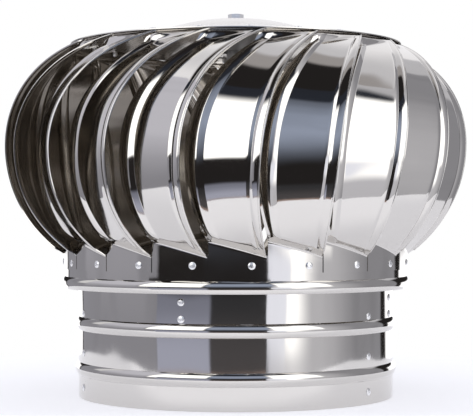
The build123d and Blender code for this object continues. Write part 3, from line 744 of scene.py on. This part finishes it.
def overhead_screen():
    """Screen over the vent, brighter towards the back."""
    material, tree, surface = new_material("overhead_screen")
    place, across, deep, height = split_place(tree)
    deep = deep + soft_step(across.maths("ABSOLUTE", across, 0.0), 0.30, 0.75) * 0.70
    colour = mixed(soft_step(deep, -0.17, -0.10), (*ROOM, 1), (0.22, 0.21, 0.21, 1))
    colour = mixed(soft_step(deep, 0.03, 0.10), colour, (0.38, 0.38, 0.40, 1))
    colour = mixed(soft_step(deep, 0.15, 0.60), colour, (0.56, 0.56, 0.58, 1))
    glow(tree, surface, colour, WALL_BRIGHTNESS)
    return material


def low_fence():
    """Dim low screen at the table's front edge, blue-grey to the left and brown in the middle."""
    material, tree, surface = new_material("low_fence")
    place, across, deep, height = split_place(tree)
    bearing = bearing_at(across, deep)
    left = soft_step(bearing, -13.2, -15.2)
    upper = mixed(left, (0.022, 0.022, 0.024, 1), (0.13, 0.135, 0.17, 1))
    lower = mixed(left, (0.045, 0.042, 0.044, 1), (0.24, 0.25, 0.31, 1))
    brown = mixed(left, (0.20, 0.145, 0.125, 1), (0.24, 0.22, 0.24, 1))
    colour = mixed(soft_step(height, 0.105, 0.085), (*ROOM, 1), upper)
    colour = mixed(soft_step(height, 0.085, 0.03), colour, lower)
    colour = mixed(soft_step(height, 0.016, 0.006), colour, brown)
    glow(tree, surface, colour, WALL_BRIGHTNESS)
    return material


def table_top():
    """Pale matt table that also glows, white to the camera where no shadow falls; the glow grows towards the
    front as a painted pool of light.
    """
    material, tree, surface = new_material("table_top")
    matt = add_node(tree, "ShaderNodeBsdfDiffuse", Color=(0.84, 0.85, 0.88, 1))
    place, across, deep, height = split_place(tree)
    # Painted light: the glow is stronger towards the front and stands for the front lights falling on the
    # table.
    painted_front_light = mixed(soft_step(deep, -0.19, -0.29), (0.43, 0.43, 0.46, 1), (0.62, 0.62, 0.65, 1))
    lift = add_node(tree, "ShaderNodeEmission", Color=painted_front_light, Strength=1.0)
    both = add_node(tree, "ShaderNodeAddShader", **{"0": matt, "1": lift})
    tree.links.new(both.socket, surface)
    return material


start_clean()
bpy.ops.mesh.primitive_cylinder_add(
    vertices=128, radius=WALL_RADIUS, depth=WALL_TOP - WALL_BOTTOM, end_fill_type="NOTHING",
    location=(0, 0, (WALL_TOP + WALL_BOTTOM) / 2),
)
walls = named("studio_walls")
bpy.ops.object.transform_apply(location=True, rotation=True, scale=True)
walls.data.materials.append(studio_walls())
only_metal_sees(walls)

start_clean()
bpy.ops.mesh.primitive_plane_add(size=2 * WALL_RADIUS, location=(0, 0, WALL_TOP))
overhead = named("overhead_screen")
overhead.data.materials.append(overhead_screen())
only_metal_sees(overhead)

start_clean()
bpy.ops.mesh.primitive_cylinder_add(
    vertices=180, radius=FENCE_RADIUS, depth=FENCE_HEIGHT, end_fill_type="NOTHING",
    location=(0, 0, FENCE_HEIGHT / 2),
)
fence = named("low_fence")
bpy.ops.object.transform_apply(location=True, rotation=True, scale=True)
bpy.ops.object.mode_set(mode="EDIT")
for bearing, keep_left in ((FENCE_LEFT, False), (FENCE_RIGHT, True)):
    bpy.ops.mesh.select_all(action="SELECT")
    bpy.ops.mesh.bisect(
        plane_co=(0, 0, 0), plane_no=level_right(bearing), clear_inner=not keep_left, clear_outer=keep_left
    )
bpy.ops.object.mode_set(mode="OBJECT")
fence.data.materials.append(low_fence())
only_metal_sees(fence)

start_clean()
bpy.ops.mesh.primitive_circle_add(vertices=96, radius=TABLE_RADIUS, fill_type="NGON", location=(-0.02, 0.05, 0))
table = named("table")
table.scale = (1.43, 1, 1)
table.data.materials.append(table_top())

world = bpy.data.worlds.new("studio")
bpy.context.scene.world = world
world.use_nodes = True
tree = world.node_tree
tree.nodes.clear()
seen = add_node(tree, "ShaderNodeLightPath", output="Is Camera Ray")
spread = add_node(tree, "ShaderNodeLightPath", output="Is Diffuse Ray")
room = add_node(tree, "ShaderNodeBackground", Color=(0.020, 0.017, 0.015, 1), Strength=1.0)
fill = add_node(tree, "ShaderNodeBackground", Color=(0.70, 0.70, 0.72, 1), Strength=1.0)
white = add_node(tree, "ShaderNodeBackground", Color=(1, 1, 1, 1), Strength=1.0)
dim = add_node(tree, "ShaderNodeMixShader", **{"0": spread, "1": room, "2": fill})
sky = add_node(tree, "ShaderNodeMixShader", **{"0": seen, "1": dim, "2": white})
world_output = tree.nodes.new("ShaderNodeOutputWorld")
tree.links.new(sky.socket, world_output.inputs["Surface"])

# Camera at the photograph's place
camera_data = bpy.data.cameras.new("camera")
camera_data.sensor_width = SENSOR_WIDTH
camera_data.lens = FOCAL_PIXELS / FRAME_WIDTH * SENSOR_WIDTH
camera_data.shift_x = (FRAME_WIDTH / 2 - AXIS_PIXEL_X) / FRAME_WIDTH
camera_data.shift_y = (HORIZON_PIXEL_Y - FRAME_HEIGHT / 2) / FRAME_WIDTH
camera = bpy.data.objects.new("camera", camera_data)
camera.location = (0, -CAMERA_DISTANCE, EYE_HEIGHT)
camera.rotation_euler = (radians(90), 0, 0)
bpy.context.scene.collection.objects.link(camera)
bpy.context.scene.camera = camera
bpy.context.scene.view_settings.view_transform = "Standard"
